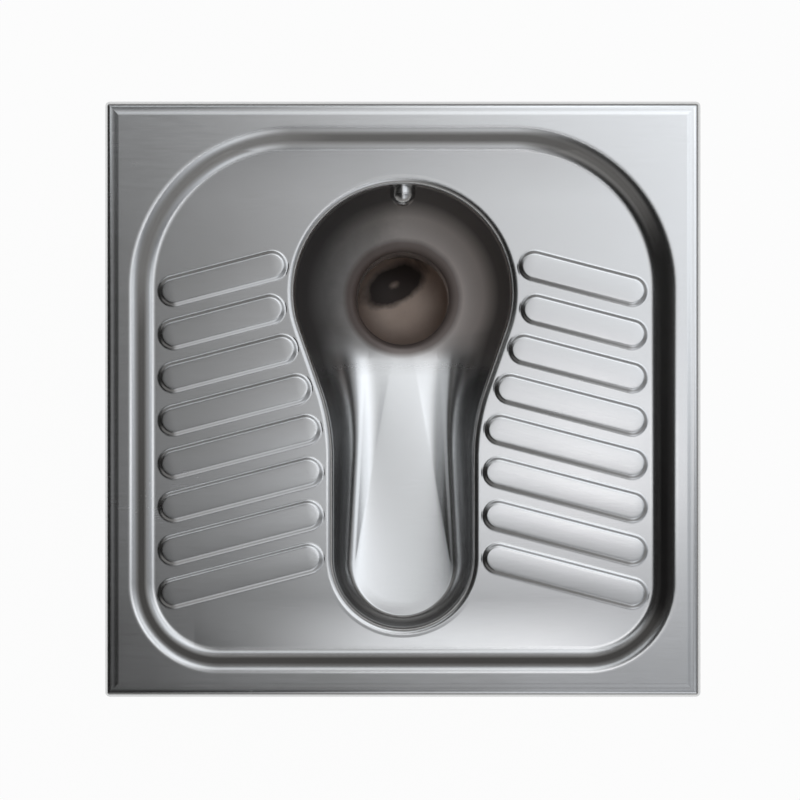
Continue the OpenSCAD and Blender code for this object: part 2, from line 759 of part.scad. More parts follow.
module sound_pads() {
    color(BITUMEN) at_deck() for (side = [0, 1]) mirror([side, 0, 0]) {
        translate([trough_r + bowl_clear, -trough_y - floor_r, hat_top - pad_t])
            cube([pad_outer - trough_r - bowl_clear, front_pad_l, pad_t]);
        translate([bowl_r + bowl_clear, bowl_y - rear_pad_l / 2, hat_top - pad_t])
            cube([pad_outer - bowl_r - bowl_clear, rear_pad_l, pad_t]);
    }
}

tie_w = 30;
tie_t = 3;
tie_drop = 60;
tie_place = 130;
nail_r = 2.5;
hem_edge = half_w - sheet_t - hem_w;

module anchor_ties() {
    color(ZINC) at_deck() for (turn = [0:90:270], place = [-tie_place, tie_place])
        rotate([0, 0, turn]) translate([hem_edge, place - tie_w / 2, -skirt_h]) {
            translate([-tie_t / 2, 0, -tie_t]) cube([hem_w, tie_w, tie_t]);
            translate([-tie_t / 2, 0, -tie_drop]) cube([tie_t, tie_w, tie_drop]);
            translate([-tie_t / 2, 0, -tie_drop]) difference() {
                cube([hem_w, tie_w, tie_t]);
                for (hole = [0.25, 0.75]) translate([hem_w * 0.6, tie_w * hole, -eps])
                    cylinder(r = nail_r, h = tie_t + 2 * eps);
            }
        }
}

// --- Frame -------------------------------------------------------------------------------------------

post_gap = 1.5;
post_x = hem_edge - post_gap - post_w / 2;
post_top = deck_top - sheet_t;
end_t = 5;
rail_z = deck_top - rail_depth;
rail_t = 1.5;

// The corners as [side, end]: -1 is left or front, 1 is right or rear
module post(side, end) {
    color(STEEL) translate([side * post_x, end * post_x, post_foot]) difference() {
        translate([-post_w / 2, -post_w / 2, 0]) cube([post_w, post_w, post_top - post_foot]);
        translate([post_t - post_w / 2, post_t - post_w / 2, end_t])
            cube([post_w - 2 * post_t, post_w - 2 * post_t, post_top - post_foot]);
        translate([0, 0, -eps]) cylinder(r = stem_r + run_gap, h = end_t + 2 * eps);
    }
}

module front_left_post() {
    post(-1, -1);
}

module front_right_post() {
    post(1, -1);
}

module rear_left_post() {
    post(-1, 1);
}

module rear_right_post() {
    post(1, 1);
}

module rail(turn) {
    length = 2 * post_x - post_w;
    color(STEEL) rotate([0, 0, turn]) translate([post_x, 0, rail_z]) difference() {
        cube([rail_w, length, rail_w], center = true);
        cube([rail_w - 2 * rail_t, length + 2 * eps, rail_w - 2 * rail_t], center = true);
    }
}

module right_rail() {
    rail(0);
}

module rear_rail() {
    rail(90);
}

module left_rail() {
    rail(180);
}

module front_rail() {
    rail(270);
}

nut_h = 10;
nut_share = 1.75;       // corner radius of a nut over the radius of its thread
nut_r = nut_share * stem_r;

module lock_nuts() {
    color(ZINC) for (side = [-1, 1], end = [-1, 1])
        translate([side * post_x, end * post_x, post_foot - nut_h]) difference() {
            cylinder(r = nut_r, h = nut_h, $fn = 6);
            translate([0, 0, -eps]) cylinder(r = stem_r + run_gap, h = nut_h + 2 * eps);
        }
}

stud_r = 4;
stud_l = 28;
stud_y = 150;
stud_nut_h = 6;
washer_t = 1.6;
stud_x = post_x - rail_w / 2;

// Frame of the bonding point: it stands on the right rail and points inwards
module at_stud() {
    translate([stud_x, stud_y, rail_z]) rotate([0, -90, 0]) children();
}

module earth_stud() {
    color(BRIGHT_STEEL) at_stud() cylinder(r = stud_r, h = stud_l);
}

// The earth wire's lug goes between the two pairs of washer and nut
stud_places = [0, stud_nut_h + washer_t];

module earth_washers() {
    color(BRIGHT_STEEL) at_stud() for (place = stud_places)
        ring(2 * stud_r, stud_r, place + washer_t, place);
}

module earth_nuts() {
    color(ZINC) at_stud() for (place = stud_places) translate([0, 0, place + washer_t]) difference() {
        cylinder(r = nut_share * stud_r, h = stud_nut_h, $fn = 6);
        translate([0, 0, -eps]) cylinder(r = stud_r, h = stud_nut_h + 2 * eps);
    }
}

// --- Levelling feet ----------------------------------------------------------------------------------

plate_t = 5;
boss_r = 13;
boss_h = 8;
collar_h = 9;
plate_top = sole_t + plate_t;

module at_foot(side, end) {
    translate([side * post_x, end * post_x, 0]) mirror([side > 0 ? 1 : 0, 0, 0]) children();
}

module stem(side, end) {
    color(ZINC) at_foot(side, end) translate([0, 0, plate_top + boss_h]) {
        cylinder(r = stem_r, h = stem_l);
        cylinder(r = nut_r, h = collar_h, $fn = 6);
    }
}

module plate(side, end) {
    color(BRIGHT_STEEL) at_foot(side, end) difference() {
        union() {
            translate([0, 0, sole_t]) cylinder(r = plate_r, h = plate_t);
            translate([0, 0, plate_top]) cylinder(r = boss_r, h = boss_h);
        }
        translate([bolt_hole_x, 0, sole_t - eps]) cylinder(r = bolt_hole_r, h = plate_t + 2 * eps);
    }
}

module sole(side, end) {
    color(RUBBER) at_foot(side, end) difference() {
        cylinder(r = plate_r, h = sole_t);
        translate([bolt_hole_x, 0, -eps]) cylinder(r = bolt_hole_r, h = sole_t + 2 * eps);
    }
}

module front_left_stem() {
    stem(-1, -1);
}

module front_left_plate() {
    plate(-1, -1);
}

module front_left_sole() {
    sole(-1, -1);
}

module front_right_stem() {
    stem(1, -1);
}

module front_right_plate() {
    plate(1, -1);
}

module front_right_sole() {
    sole(1, -1);
}

module rear_left_stem() {
    stem(-1, 1);
}

module rear_left_plate() {
    plate(-1, 1);
}

module rear_left_sole() {
    sole(-1, 1);
}

module rear_right_stem() {
    stem(1, 1);
}

module rear_right_plate() {
    plate(1, 1);
}

module rear_right_sole() {
    sole(1, 1);
}

deck();
bowl();
outlet_spigot();
flush_pipe();
flush_spreader();
flush_pipe_bracket();
inlet_cuff();
cuff_clamp();
cuff_clamp_screw();
trap_bend();
trap_seal();
trap_clamp();
trap_clamp_bolt();
cleanout_cap();
cleanout_gasket();
outlet_elbow();
elbow_seal();
elbow_clamp();
elbow_clamp_bolt();
left_stiffener();
right_stiffener();
sound_pads();
anchor_ties();
front_left_post();
front_right_post();
rear_left_post();
rear_right_post();
front_rail();
rear_rail();
left_rail();
right_rail();
lock_nuts();
earth_stud();
earth_washers();
earth_nuts();
front_left_stem();
front_left_plate();
front_left_sole();
front_right_stem();
front_right_plate();
front_right_sole();
rear_left_stem();
rear_left_plate();
rear_left_sole();
rear_right_stem();
rear_right_plate();
rear_right_sole();
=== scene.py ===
"""Looks of a square stainless steel squat toilet pan with its frame, feet, flush pipe and trap.

Sizes in the sections are millimetres, and each mesh is scaled to metres as it is made. Only the
studio's sizes are metres.
"""

import bmesh
import bpy
import numpy as np
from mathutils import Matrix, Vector
from mathutils.geometry import delaunay_2d_cdt


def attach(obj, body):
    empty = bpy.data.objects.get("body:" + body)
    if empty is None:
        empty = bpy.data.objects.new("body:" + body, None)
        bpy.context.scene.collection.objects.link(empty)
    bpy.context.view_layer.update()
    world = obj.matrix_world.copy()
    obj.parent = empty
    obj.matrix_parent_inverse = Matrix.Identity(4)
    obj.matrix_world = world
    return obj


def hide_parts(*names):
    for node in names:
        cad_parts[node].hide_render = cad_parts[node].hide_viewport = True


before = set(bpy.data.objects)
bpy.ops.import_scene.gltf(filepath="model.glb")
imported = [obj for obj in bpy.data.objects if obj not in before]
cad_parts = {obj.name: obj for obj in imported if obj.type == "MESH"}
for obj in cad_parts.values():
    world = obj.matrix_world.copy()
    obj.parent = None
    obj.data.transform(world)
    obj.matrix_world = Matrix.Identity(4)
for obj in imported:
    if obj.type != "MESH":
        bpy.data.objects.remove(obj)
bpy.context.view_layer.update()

# --- Camera ---------------------------------------------------------------------------------------
# The photograph looks straight down on the pan. The deck's 600 mm side spans 597 of its 800 pixels,
# and the features' perspective puts the lens 1.87 m above the deck. The pressed features stand a
# little to the right of the deck's middle there, so the camera stands a little to the left.

mm = 0.001
deck_top = 385
camera_height = 1870
view_width = 803.2          # what the picture's side spans at the deck's height
camera_x, camera_y = -2.9, -0.8

lens = bpy.data.cameras.new("camera")
lens.sensor_width = 36
lens.lens = lens.sensor_width * camera_height / view_width
camera = bpy.data.objects.new("camera", lens)
camera.location = Vector((camera_x, camera_y, deck_top + camera_height)) * mm
bpy.context.scene.collection.objects.link(camera)
bpy.context.scene.camera = camera

# --- Deck -----------------------------------------------------------------------------------------
# One sheet of 1.5 mm stainless steel, pressed and finely ground to a satin. A flat border steps
# down to the tread area, its outer edge is rolled over into a skirt with a hem, and sixteen foot
# treads are raised beside the keyhole, where the bowl is welded in.

sheet_t = 1.5
half_w = 300
corner_r = 5                # the skirt's vertical corners are nearly sharp
edge_r = 8
skirt_h = 35
foot_r = 2                  # the skirt's foot is folded in at this radius
hem_w = 12
flat_w = 1.5                # a strip this wide beside a bend stays flat
border_w = 25
step_w = 24
step_h = 12
rear_corner_r = 163
front_corner_r = 90
recess_w = half_w - border_w

bowl_y = 108
bowl_r = 111.5
trough_r = 72
trough_y = -161
taper = 19.3
blend_r = 214
seam_out = 8                # the weld between deck and bowl follows the keyhole at this distance

tread_w = 31
tread_h = 2
tread_pitch = 43.6
tread_tilt = 14.5
tread_tip_x = 247
tread_rear_y = 109.3
tread_gap = 9
tread_shoulder = 5.5        # plan width of the tread's rounded shoulder
tread_foot = 1              # the shoulder starts this far outside the tread's nominal outline
tread_crown = 0.15


def arc(centre, radius, start, end, count):
    """Points centre + radius * (cos a, sin a), where a goes from start to end degrees in equal
    steps."""
    a = np.radians(np.linspace(start, end, count))
    return np.asarray(centre, float) + radius * np.stack([np.cos(a), np.sin(a)], axis=1)


def rounded_square(half, rear_r, front_r, inset, count=28):
    """Outline of a square, moved inwards by inset: each corner keeps its arc's centre and gives the
    arc the radius r - inset, and where that is used up the moved sides simply cross."""
    corners = []
    for turn, (x, y) in enumerate([(1, 1), (-1, 1), (-1, -1), (1, -1)]):
        r = rear_r if y > 0 else front_r
        reach = half - max(r, inset)
        centre = (x * reach, y * reach)
        corners.append(arc(centre, max(r - inset, 0), 90 * turn, 90 * turn + 90, count))
    return np.concatenate(corners)


def at_height(outline, z):
    """An outline's points with the same height added to each."""
    return np.column_stack([outline, np.full(len(outline), float(z))])


def bands(rings):
    """Four-cornered faces between each ring of a (rings, points, 3) array and the next, facing up
    where the rings run anticlockwise from the outside inwards."""
    m, n = rings.shape[:2]
    i, j = np.meshgrid(np.arange(m - 1), np.arange(n), indexing="ij")
    k = (j + 1) % n
    corners = [i * n + j, i * n + k, (i + 1) * n + k, (i + 1) * n + j]
    return np.stack(corners, axis=-1).reshape(-1, 4)


def surface(rings):
    """The points and faces of one surface through rings."""
    return rings.reshape(-1, 3), bands(rings).tolist()


def plate(outlines, z):
    """Flat plate at height z between an outline and the outlines of its holes: the triangles of a
    constrained triangulation whose middle has an odd number of outlines round it."""
    points = np.concatenate(outlines)
    starts = np.cumsum([0] + [len(o) for o in outlines])
    edges = [(int(s + i), int(s + (i + 1) % len(o)))
             for s, o in zip(starts, outlines) for i in range(len(o))]
    corners, _, faces = delaunay_2d_cdt([Vector(p) for p in points], edges, [], 0, 1e-6)[:3]
    corners = np.array(corners)
    faces = np.array(faces)
    middle = corners[faces].mean(axis=1)
    inside = np.zeros(len(faces), bool)
    for outline in outlines:
        a, b = outline, np.roll(outline, -1, axis=0)
        crosses = (a[:, 1] > middle[:, 1, None]) != (b[:, 1] > middle[:, 1, None])
        run = np.where(b[:, 1] == a[:, 1], 1, b[:, 1] - a[:, 1])
        at_x = a[:, 0] + (middle[:, 1, None] - a[:, 1]) * (b[:, 0] - a[:, 0]) / run
        inside ^= (crosses & (middle[:, 0, None] < at_x)).sum(axis=1) % 2 == 1
    return at_height(corners, z), faces[inside]


def joined(patches):
    """One list of points and one of faces from several patches of (points, faces)."""
    points, faces, start = [], [], 0
    for p, f in patches:
        points.append(p.reshape(-1, 3))
        faces += (f + start).tolist()
        start += len(points[-1])
    return np.concatenate(points), faces


def make_piece(name, points, faces, body, finish, slot, replaces, thickness=0, cutter=None,
               crease=32, **marks):
    """A piece from points in millimetres: doubles are merged, a sheet gets its thickness below the
    given face, the cutter's shape is taken away, and edges that turn more than the crease angle
    stay sharp. Marks are numbers for each point that the finish reads."""
    mesh = bpy.data.meshes.new(name)
    mesh.from_pydata((points * mm).tolist(), [], faces)
    for mark, values in marks.items():
        mesh.attributes.new(mark, "FLOAT", "POINT").data.foreach_set("value", values)
    work = bmesh.new()
    work.from_mesh(mesh)
    bmesh.ops.remove_doubles(work, verts=work.verts, dist=1e-5)
    bmesh.ops.dissolve_degenerate(work, edges=work.edges, dist=1e-7)
    work.to_mesh(mesh)
    work.free()
    piece = bpy.data.objects.new(name, mesh)
    bpy.context.scene.collection.objects.link(piece)
    if thickness:
        wall = piece.modifiers.new("wall", "SOLIDIFY")
        wall.thickness = thickness * mm
        wall.offset = -1
        wall.use_even_offset = True
    if cutter:
        cut = piece.modifiers.new("cut", "BOOLEAN")
        cut.object = cutter
        cut.operation = "DIFFERENCE"
        cut.solver = "EXACT"
    if thickness or cutter:
        piece.data = bpy.data.meshes.new_from_object(
            piece.evaluated_get(bpy.context.evaluated_depsgraph_get()))
        piece.modifiers.clear()
    if cutter:
        bpy.data.objects.remove(cutter)
    crease_turn = float(np.radians(crease))
    work = bmesh.new()
    work.from_mesh(piece.data)
    for edge in work.edges:
        edge.smooth = len(edge.link_faces) == 2 and edge.calc_face_angle(0) < crease_turn
    for face in work.faces:
        face.smooth = True
    work.to_mesh(piece.data)
    work.free()
    piece.data.name = name
    piece.data.materials.clear()
    piece.data.materials.append(finish)
    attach(piece, body)
    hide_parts(*replaces)
    return piece


def round_bar(radius, start, end, count=48):
    """Cutter: a round bar from start to end, a circle carried along a straight line."""
    start, end = np.asarray(start, float), np.asarray(end, float)
    axis = (end - start) / np.linalg.norm(end - start)
    side = np.cross(axis, (0, 0, 1) if abs(axis[2]) < 0.9 else (1, 0, 0))
    side /= np.linalg.norm(side)
    circle = arc((0, 0), radius, 0, 360, count + 1)[:-1]
    ring = circle[:, :1] * side + circle[:, 1:] * np.cross(axis, side)
    points = np.concatenate([start + ring, end + ring]) * mm
    faces = [(j, (j + 1) % count, count + (j + 1) % count, count + j) for j in range(count)]
    faces += [tuple(range(count))[::-1], tuple(range(count, 2 * count))]
    mesh = bpy.data.meshes.new("cutter")
    mesh.from_pydata(points.tolist(), [], faces)
    cutter = bpy.data.objects.new("cutter", mesh)
    bpy.context.scene.collection.objects.link(cutter)
    return cutter


# The keyhole's right half from the rear to the front, as points and the angles of their outward
# normals: an arc about the drain, a straight taper, an arc that bends the other way, a straight
# side and an arc.
bowl_count, taper_count, blend_count, side_count, trough_count = 58, 9, 13, 15, 36
blend_x = trough_r + blend_r
sin_t, cos_t = np.sin(np.radians(taper)), np.cos(np.radians(taper))
blend_y = bowl_y - blend_r * sin_t + ((blend_x - blend_r * cos_t) * cos_t - bowl_r) / sin_t
taper_start = np.array([bowl_r * cos_t, bowl_y - bowl_r * sin_t])
taper_end = np.array([blend_x - blend_r * cos_t, blend_y + blend_r * sin_t])
taper_share = np.linspace(0, 1, taper_count)[1:, None]
side_y = np.linspace(blend_y, trough_y, side_count)[1:]
half_keyhole = np.concatenate([
    arc((0, bowl_y), bowl_r, 90, -taper, bowl_count),
    taper_start + (taper_end - taper_start) * taper_share,
    arc((blend_x, blend_y), -blend_r, -taper, 0, blend_count)[1:],
    np.column_stack([np.full(len(side_y), trough_r), side_y]),
    arc((0, trough_y), trough_r, 0, -90, trough_count)[1:],
])
half_angle = np.concatenate([
    np.linspace(90, -taper, bowl_count),
    np.full(len(taper_share), -taper),
    np.linspace(-taper, 0, blend_count)[1:],
    np.zeros(len(side_y)),
    np.linspace(0, -90, trough_count)[1:],
])
half_normal = np.stack([np.cos(np.radians(half_angle)), np.sin(np.radians(half_angle))], axis=1)


def mirrored(half):
    """A closed outline, clockwise from the rear, from its right half."""
    left = half[-2:0:-1] * np.array([-1, 1, 1][:half.shape[1]])
    return np.concatenate([half, left])


def mouth_half(y):
    """The keyhole's half-width at a place behind the deck's centre, between its two round ends."""
    if y > taper_start[1]:
        return np.sqrt(bowl_r ** 2 - (y - bowl_y) ** 2)
    if y > taper_end[1]:
        return np.interp(y, [taper_end[1], taper_start[1]], [taper_end[0], taper_start[0]])
    return blend_x - np.sqrt(blend_r ** 2 - (y - blend_y) ** 2) if y > blend_y else trough_r


def smooth(t):
    """Rises from 0 to 1 as (1 - cos(180 t)) / 2."""
    return (1 - np.cos(np.pi * np.clip(t, 0, 1))) / 2


def tread(number, side):
    """A tread is a round-ended strip round a middle line. The rings about that line shrink from
    outside the shoulder to nothing, and rise by a half cosine over the shoulder and by a parabola
    on the crown. The middle line ends where the strip keeps its gap to the keyhole, which a few
    rounds find."""
    slope = np.tan(np.radians(tread_tilt))
    half = tread_w / 2
    outer = np.array([tread_tip_x - half, tread_rear_y - number * tread_pitch])
    x = mouth_half(outer[1]) + half
    for _ in range(5):
        x = mouth_half(outer[1] + (outer[0] - x) * slope) + tread_gap + half
    inner = np.array([x, outer[1] + (outer[0] - x) * slope])
    foot = half + tread_foot
    top = foot - tread_shoulder
    radii = np.concatenate([[foot + 1], np.linspace(foot, top, 11), np.linspace(top - 2, 0, 5)])
    rise = smooth((foot - radii) / tread_shoulder) * (tread_h - tread_crown)
    crown = tread_crown * (1 - np.clip(radii / top, 0, 1) ** 2)
    rings = []
    for r, z in zip(radii, rise + crown):
        outline = np.concatenate([arc(outer, r, -90 - tread_tilt, 90 - tread_tilt, 20),
                                  arc(inner, r, 90 - tread_tilt, 270 - tread_tilt, 20)])
        if side < 0:
            outline = (outline * (-1, 1))[::-1]
        rings.append(at_height(outline, z - step_h))
    return np.array(rings)


class Wire:
    """A number socket of a node tree. + - * / and ** on it add the Math nodes that work them
    out."""

    def __init__(self, graph, socket):
        self.graph, self.socket = graph, socket

    def _math(self, operation, a, b):
        return self.graph.node("ShaderNodeMath", {"operation": operation}, {0: a, 1: b})

    def __add__(self, other):
        return self._math("ADD", self, other)

    def __radd__(self, other):
        return self._math("ADD", other, self)

    def __sub__(self, other):
        return self._math("SUBTRACT", self, other)

    def __rsub__(self, other):
        return self._math("SUBTRACT", other, self)

    def __mul__(self, other):
        return self._math("MULTIPLY", self, other)

    def __rmul__(self, other):
        return self._math("MULTIPLY", other, self)

    def __truediv__(self, other):
        return self._math("DIVIDE", self, other)

    def __pow__(self, other):
        return self._math("POWER", self, other)

    def above(self, least):
        """The number itself, or the least value where it is lower."""
        return self._math("MAXIMUM", self, least)

    def below(self, most):
        """The number itself, or the most value where it is higher."""
        return self._math("MINIMUM", self, most)

    def as_share(self):
        """The number kept between 0 and 1."""
        return self.above(0).below(1)


class Graph:
    """The nodes of a material or of the world. node() adds one."""

    def __init__(self, tree):
        self.tree = tree

    def node(self, kind, settings=None, inputs=None, output=0):
        """A node of a kind: its settings or a ramp's stops first, then the values or wires of its
        inputs."""
        made = self.tree.nodes.new(kind)
        for key, value in (settings or {}).items():
            if key == "stops":
                for stop, (place, shade) in zip(self._stops(made, len(value)), value):
                    stop.position, stop.color = place, shade
            else:
                setattr(made, key, value)
        for key, value in (inputs or {}).items():
            self.feed(made.inputs[key], value)
        return Wire(self, made.outputs[output])

    def _stops(self, made, count):
        ramp = made.color_ramp.elements
        while len(ramp) < count:
            ramp.new(0.5)
        return ramp

    def feed(self, socket, value):
        """A wire is linked to the socket, and anything else becomes its value."""
        if isinstance(value, Wire):
            self.tree.links.new(value.socket, socket)
        else:
            socket.default_value = value

    def ramp(self, factor, *stops):
        """A colour or grey that runs through the stops as the factor grows."""
        stops = [(place, (*shade, 1) if isinstance(shade, tuple) else (shade, shade, shade, 1))
                 for place, shade in stops]
        return self.node("ShaderNodeValToRGB", {"stops": stops}, {"Fac": factor})

    def mix(self, factor, a, b):
        """Colour a where the factor is 0 and b where it is 1."""
        a, b = ((*c, 1) if isinstance(c, tuple) else c for c in (a, b))
        return self.node("ShaderNodeMix", {"data_type": "RGBA"}, {0: factor, 6: a, 7: b}, output=2)

    def parts(self, vector):
        """The three numbers of a vector."""
        return [self.node("ShaderNodeSeparateXYZ", {}, {0: vector}, output=axis) for axis in "XYZ"]


class Finish(Graph):
    """A material. Its constants go on its shader's own sockets."""

    def __init__(self, name, **constants):
        self.material = bpy.data.materials.new(name)
        self.material.use_nodes = True
        super().__init__(self.material.node_tree)
        self.shader = self.tree.nodes["Principled BSDF"]
        for socket, value in constants.items():
            self.shader.inputs[socket.replace("_", " ")].default_value = value

    def shade(self, **wires):
        """Feeds the shader's sockets."""
        for socket, wire in wires.items():
            self.feed(self.shader.inputs[socket.replace("_", " ")], wire)
        return self.material

    def place(self, stretch=(1, 1, 1)):
        """The place on the object in metres, stretched along its axes."""
        spot = self.node("ShaderNodeTexCoord", output="Object")
        return self.node("ShaderNodeMapping", {}, {"Vector": spot, "Scale": stretch})

    def millimetres(self):
        """The place on the object as three numbers in millimetres."""
        spot = self.node("ShaderNodeTexCoord", output="Object")
        return [part * 1000 for part in self.parts(spot)]

    def noise(self, scale, stretch=(1, 1, 1), detail=3, roughness=0.5):
        """Noise from 0 to 1 with that many cells a metre."""
        return self.node("ShaderNodeTexNoise", {"noise_dimensions": "3D"}, {
            "Vector": self.place(stretch), "Scale": scale, "Detail": detail,
            "Roughness": roughness})

    def bump(self, height, distance):
        """A normal that follows a height, where a height of 1 stands for distance millimetres."""
        return self.node("ShaderNodeBump", {}, {
            "Height": height, "Distance": distance * mm, "Strength": 1.0})


grain_depth = 0.012         # the grinding lines' depth


def satin_steel(name):
    """Satin stainless steel: fine grinding lines across the pan and a faint cloudiness from
    pressing."""
    finish = Finish(name, Metallic=1.0)
    lines = finish.noise(700, (0.06, 1, 1), detail=2)
    fine = finish.noise(2600, (0.12, 1, 1), detail=1)
    cloud = finish.noise(7, detail=3)
    spots = finish.noise(60, detail=4, roughness=0.62)
    dark, light = (0.62, 0.622, 0.618), (0.745, 0.752, 0.758)
    finish.grey = finish.mix(cloud * 0.6 + lines * 0.4, dark, light)
    finish.rough = 0.20 + lines * 0.04 + cloud * 0.05 + spots * 0.02
    finish.grain = lines * 0.6 + fine * 0.4
    finish.shade(Base_Color=finish.grey, Roughness=finish.rough,
                 Normal=finish.bump(finish.grain, grain_depth))
    return finish


recess_rise = 2.2           # the tread area's floor still rises this much to the front and rear
recess_rise_w = 50          # over this width beside the step
even_x = 20                 # at the front the rise weakens from this far beside the middle
fading_w = 200
groove_w = 12               # a shallow groove follows the rolled edge
groove_out = 3
groove_depth = 0.35
# the step's painted shade: its dark grey and how strongly it is laid on, in place of the dark
# reflection there
step_shade_grey = (0.11, 0.106, 0.102)
step_shade_share = 0.84


def pressed_steel_with_painted_shade(name):
    """The satin steel with painted shade: a dark grey line painted where the step is steepest, in
    place of the dark reflection there, weaker to the rear and in the rear left corner. Two slight
    forms of the pressing are in its bump. The tread area's floor rises to the front and rear as the
    square of how near the step is, less at the two ends of the front. The groove beside the rolled
    edge is (4 s (1 - s))^2 deep, where s goes from 0 to 1 across it."""
    finish = satin_steel(name)
    grain = finish.grain * grain_depth
    x, y, z = finish.millimetres()
    side, end = ((place ** 2) ** 0.5 for place in (x, y))
    edge = side.above(end)
    depth = (deck_top - z) / step_h

    near = ((end - recess_w + step_w + recess_rise_w) / recess_rise_w).as_share()
    left_end = ((x * -1 - even_x) / fading_w).above(0)
    right_end = ((x - even_x) / fading_w).above(0)
    front_loss = (left_end ** 2 * 1.1 + right_end ** 2 * 0.5).below(1) * (y * -0.01).as_share()
    rising = finish.bump(near ** 2 * (1 - front_loss) * recess_rise + grain, 1)

    across = ((edge - half_w + groove_w + groove_out) / groove_w).as_share()
    grooved = finish.bump(grain - (across * (1 - across) * 4) ** 2 * groove_depth, 1)

    sunken = finish.ramp(depth, (0.3, 0.0), (0.5, 1.0))
    normal = finish.node("ShaderNodeMix", {"data_type": "VECTOR"},
                         {0: sunken, 4: grooved, 5: rising}, output=1)
    normal = finish.node("ShaderNodeVectorMath", {"operation": "NORMALIZE"}, {0: normal})

    # painted shade on the steepest part of the step, weaker to the rear and in the rear left
    # corner, and kept off the skirt
    steepest_step = finish.ramp(depth, (0.12, 0.0), (0.36, 1.0), (0.62, 1.0), (0.78, 0.0))
    above_skirt = ((half_w - 15 - edge) * 0.2).as_share()
    to_rear = finish.ramp(y * 0.002 + 0.5, (0.3, 1.0), (0.72, 0.72), (0.9, 0.6))
    rear_left_corner = ((y - x - 330) / 60).as_share()
    painted_step_shade = steepest_step * above_skirt * to_rear * (1 - rear_left_corner * 0.6) * step_shade_share
    return finish.shade(Base_Color=finish.mix(painted_step_shade, finish.grey, step_shade_grey), Normal=normal)


# the deck's material, named satin_steel, carries the step's painted shade
deck_steel = pressed_steel_with_painted_shade("satin_steel")

edge_turn = np.radians(np.linspace(0, 90, 9))
foot_turn = np.radians(np.linspace(0, 90, 5))
skirt_profile = np.array(
    [(hem_w + sheet_t, -skirt_h), (foot_r + 1, -skirt_h)]
    + [(foot_r - foot_r * np.sin(a), foot_r - skirt_h - foot_r * np.cos(a)) for a in foot_turn]
    + [(0, -edge_r - 1)]
    + [(edge_r - edge_r * np.cos(a), edge_r * np.sin(a) - edge_r) for a in edge_turn]
    + [(edge_r + flat_w, 0)])
skirt = np.array([at_height(rounded_square(half_w, corner_r, corner_r, inset, 10), z)
                  for inset, z in skirt_profile])

step_insets = np.concatenate([[-flat_w], np.linspace(0, step_w, 17), [step_w + flat_w]])
step = np.array([at_height(rounded_square(recess_w, rear_corner_r, front_corner_r, inset),
                           -step_h * smooth(inset / step_w)) for inset in step_insets])

treads = [tread(number, side) for number in range(8) for side in (1, -1)]
seam = mirrored(half_keyhole + seam_out * half_normal)
border = plate([skirt[-1][:, :2], step[0][:, :2]], 0)
tread_area = plate([step[-1][:, :2], seam] + [t[0][:, :2] for t in treads], -step_h)
points, faces = joined([(skirt, bands(skirt)), border, (step, bands(step)), tread_area]
                       + [(t, bands(t)) for t in treads])
points[:, 2] += deck_top

cuff_notch_r = 25
flush_z = deck_top - 38     # the flush pipe's middle
notch = round_bar(cuff_notch_r, (0, half_w - 30, flush_z), (0, half_w + 10, flush_z))
make_piece("pan_deck", points, faces, "pan", deck_steel, "satin_steel", ["deck"], sheet_t, notch)

# --- Bowl -----------------------------------------------------------------------------------------
# The keyhole bowl is drawn deep from one sheet: a rolled rim, walls that steepen at once, a trough
# that falls towards the drain, and a ring round the drain that rolls down into a short collar. It
# is welded to the deck and ground flush.

rim_r = 7
rim_out = 5
drain_depth = 118
front_depth = 55
floor_r = 50
floor_y = -172
floor_sag = 6
lip_r = 57
dish_r = 60
chute_angle = 50            # the floor leaves the ring round the drain at this angle
spigot_bore = 49.5
collar_end = 128.5
wall_run = (0.02, 0.42)     # middle controls of the wall's curve, as shares of its run
wall_fall = (0.6, 1.0)      # and of its fall
floor_fall = (drain_depth - front_depth) / (bowl_y - lip_r - floor_y + floor_r)
drain = (0, bowl_y)


def floor_depth(y):
    """The trough's floor falls in a straight line to the rear, as far as the drain's ring."""
    return np.minimum(drain_depth, front_depth + floor_fall * (y - floor_y + floor_r))


def bend(q, middle):
    """Cubic curve from 0 to 1 with two middle control values."""
    return 3 * q * (1 - q) ** 2 * middle[0] + 3 * q * q * (1 - q) * middle[1] + q ** 3


in_dish = half_keyhole[:, 1] >= taper_start[1] - 0.01
in_front = half_keyhole[:, 1] <= trough_y + 0.01
dish_angle = np.radians(np.where(half_angle < 0, half_angle * chute_angle / taper, half_angle))
dish_edge = drain + dish_r * np.stack([np.cos(dish_angle), np.sin(dish_angle)], axis=1)
down_side = ((taper_start[1] - half_keyhole[:, 1]) / (taper_start[1] - trough_y))[:, None]
chute_start = dish_edge[in_dish][-1]
half_floor = chute_start + (np.array((floor_r, floor_y)) - chute_start) * down_side
half_floor[in_dish] = dish_edge[in_dish]
half_floor[in_front] = (0, floor_y) + floor_r * half_normal[in_front]
half_wall = half_keyhole - (rim_r - rim_out) * half_normal
lip_normal = half_floor - drain
lip_normal /= np.linalg.norm(lip_normal, axis=1)[:, None]
floor_z = -floor_depth(half_floor[:, 1])


def rim_ring(a):
    """The rim rolls down: a quarter circle from the flat seam to the wall, at a degrees round
    it."""
    a = np.radians(a)
    flat = half_keyhole - (rim_r * np.sin(a) - rim_out) * half_normal
    return at_height(flat, -step_h - rim_r * (1 - np.cos(a)))


def wall_ring(q):
    """The wall: both its run and its fall to the floor's edge are cubic curves of q."""
    flat = half_wall + (half_floor - half_wall) * bend(q, wall_run)
    top = -step_h - rim_r
    return np.column_stack([flat, top + (floor_z - top) * bend(q, wall_fall)])


def floor_ring(t):
    """The floor: straight from its edge to the drain's lip seen from above, at the floor's own
    depth and a sag that follows half a sine wave on the way and fades towards the drain."""
    flat = half_floor + (drain + lip_r * lip_normal - half_floor) * t
    depth = floor_depth(flat[:, 1])
    fade = (drain_depth - depth) / (drain_depth - front_depth)
    return np.column_stack([flat, -depth - floor_sag * np.sin(np.pi * t) * fade])


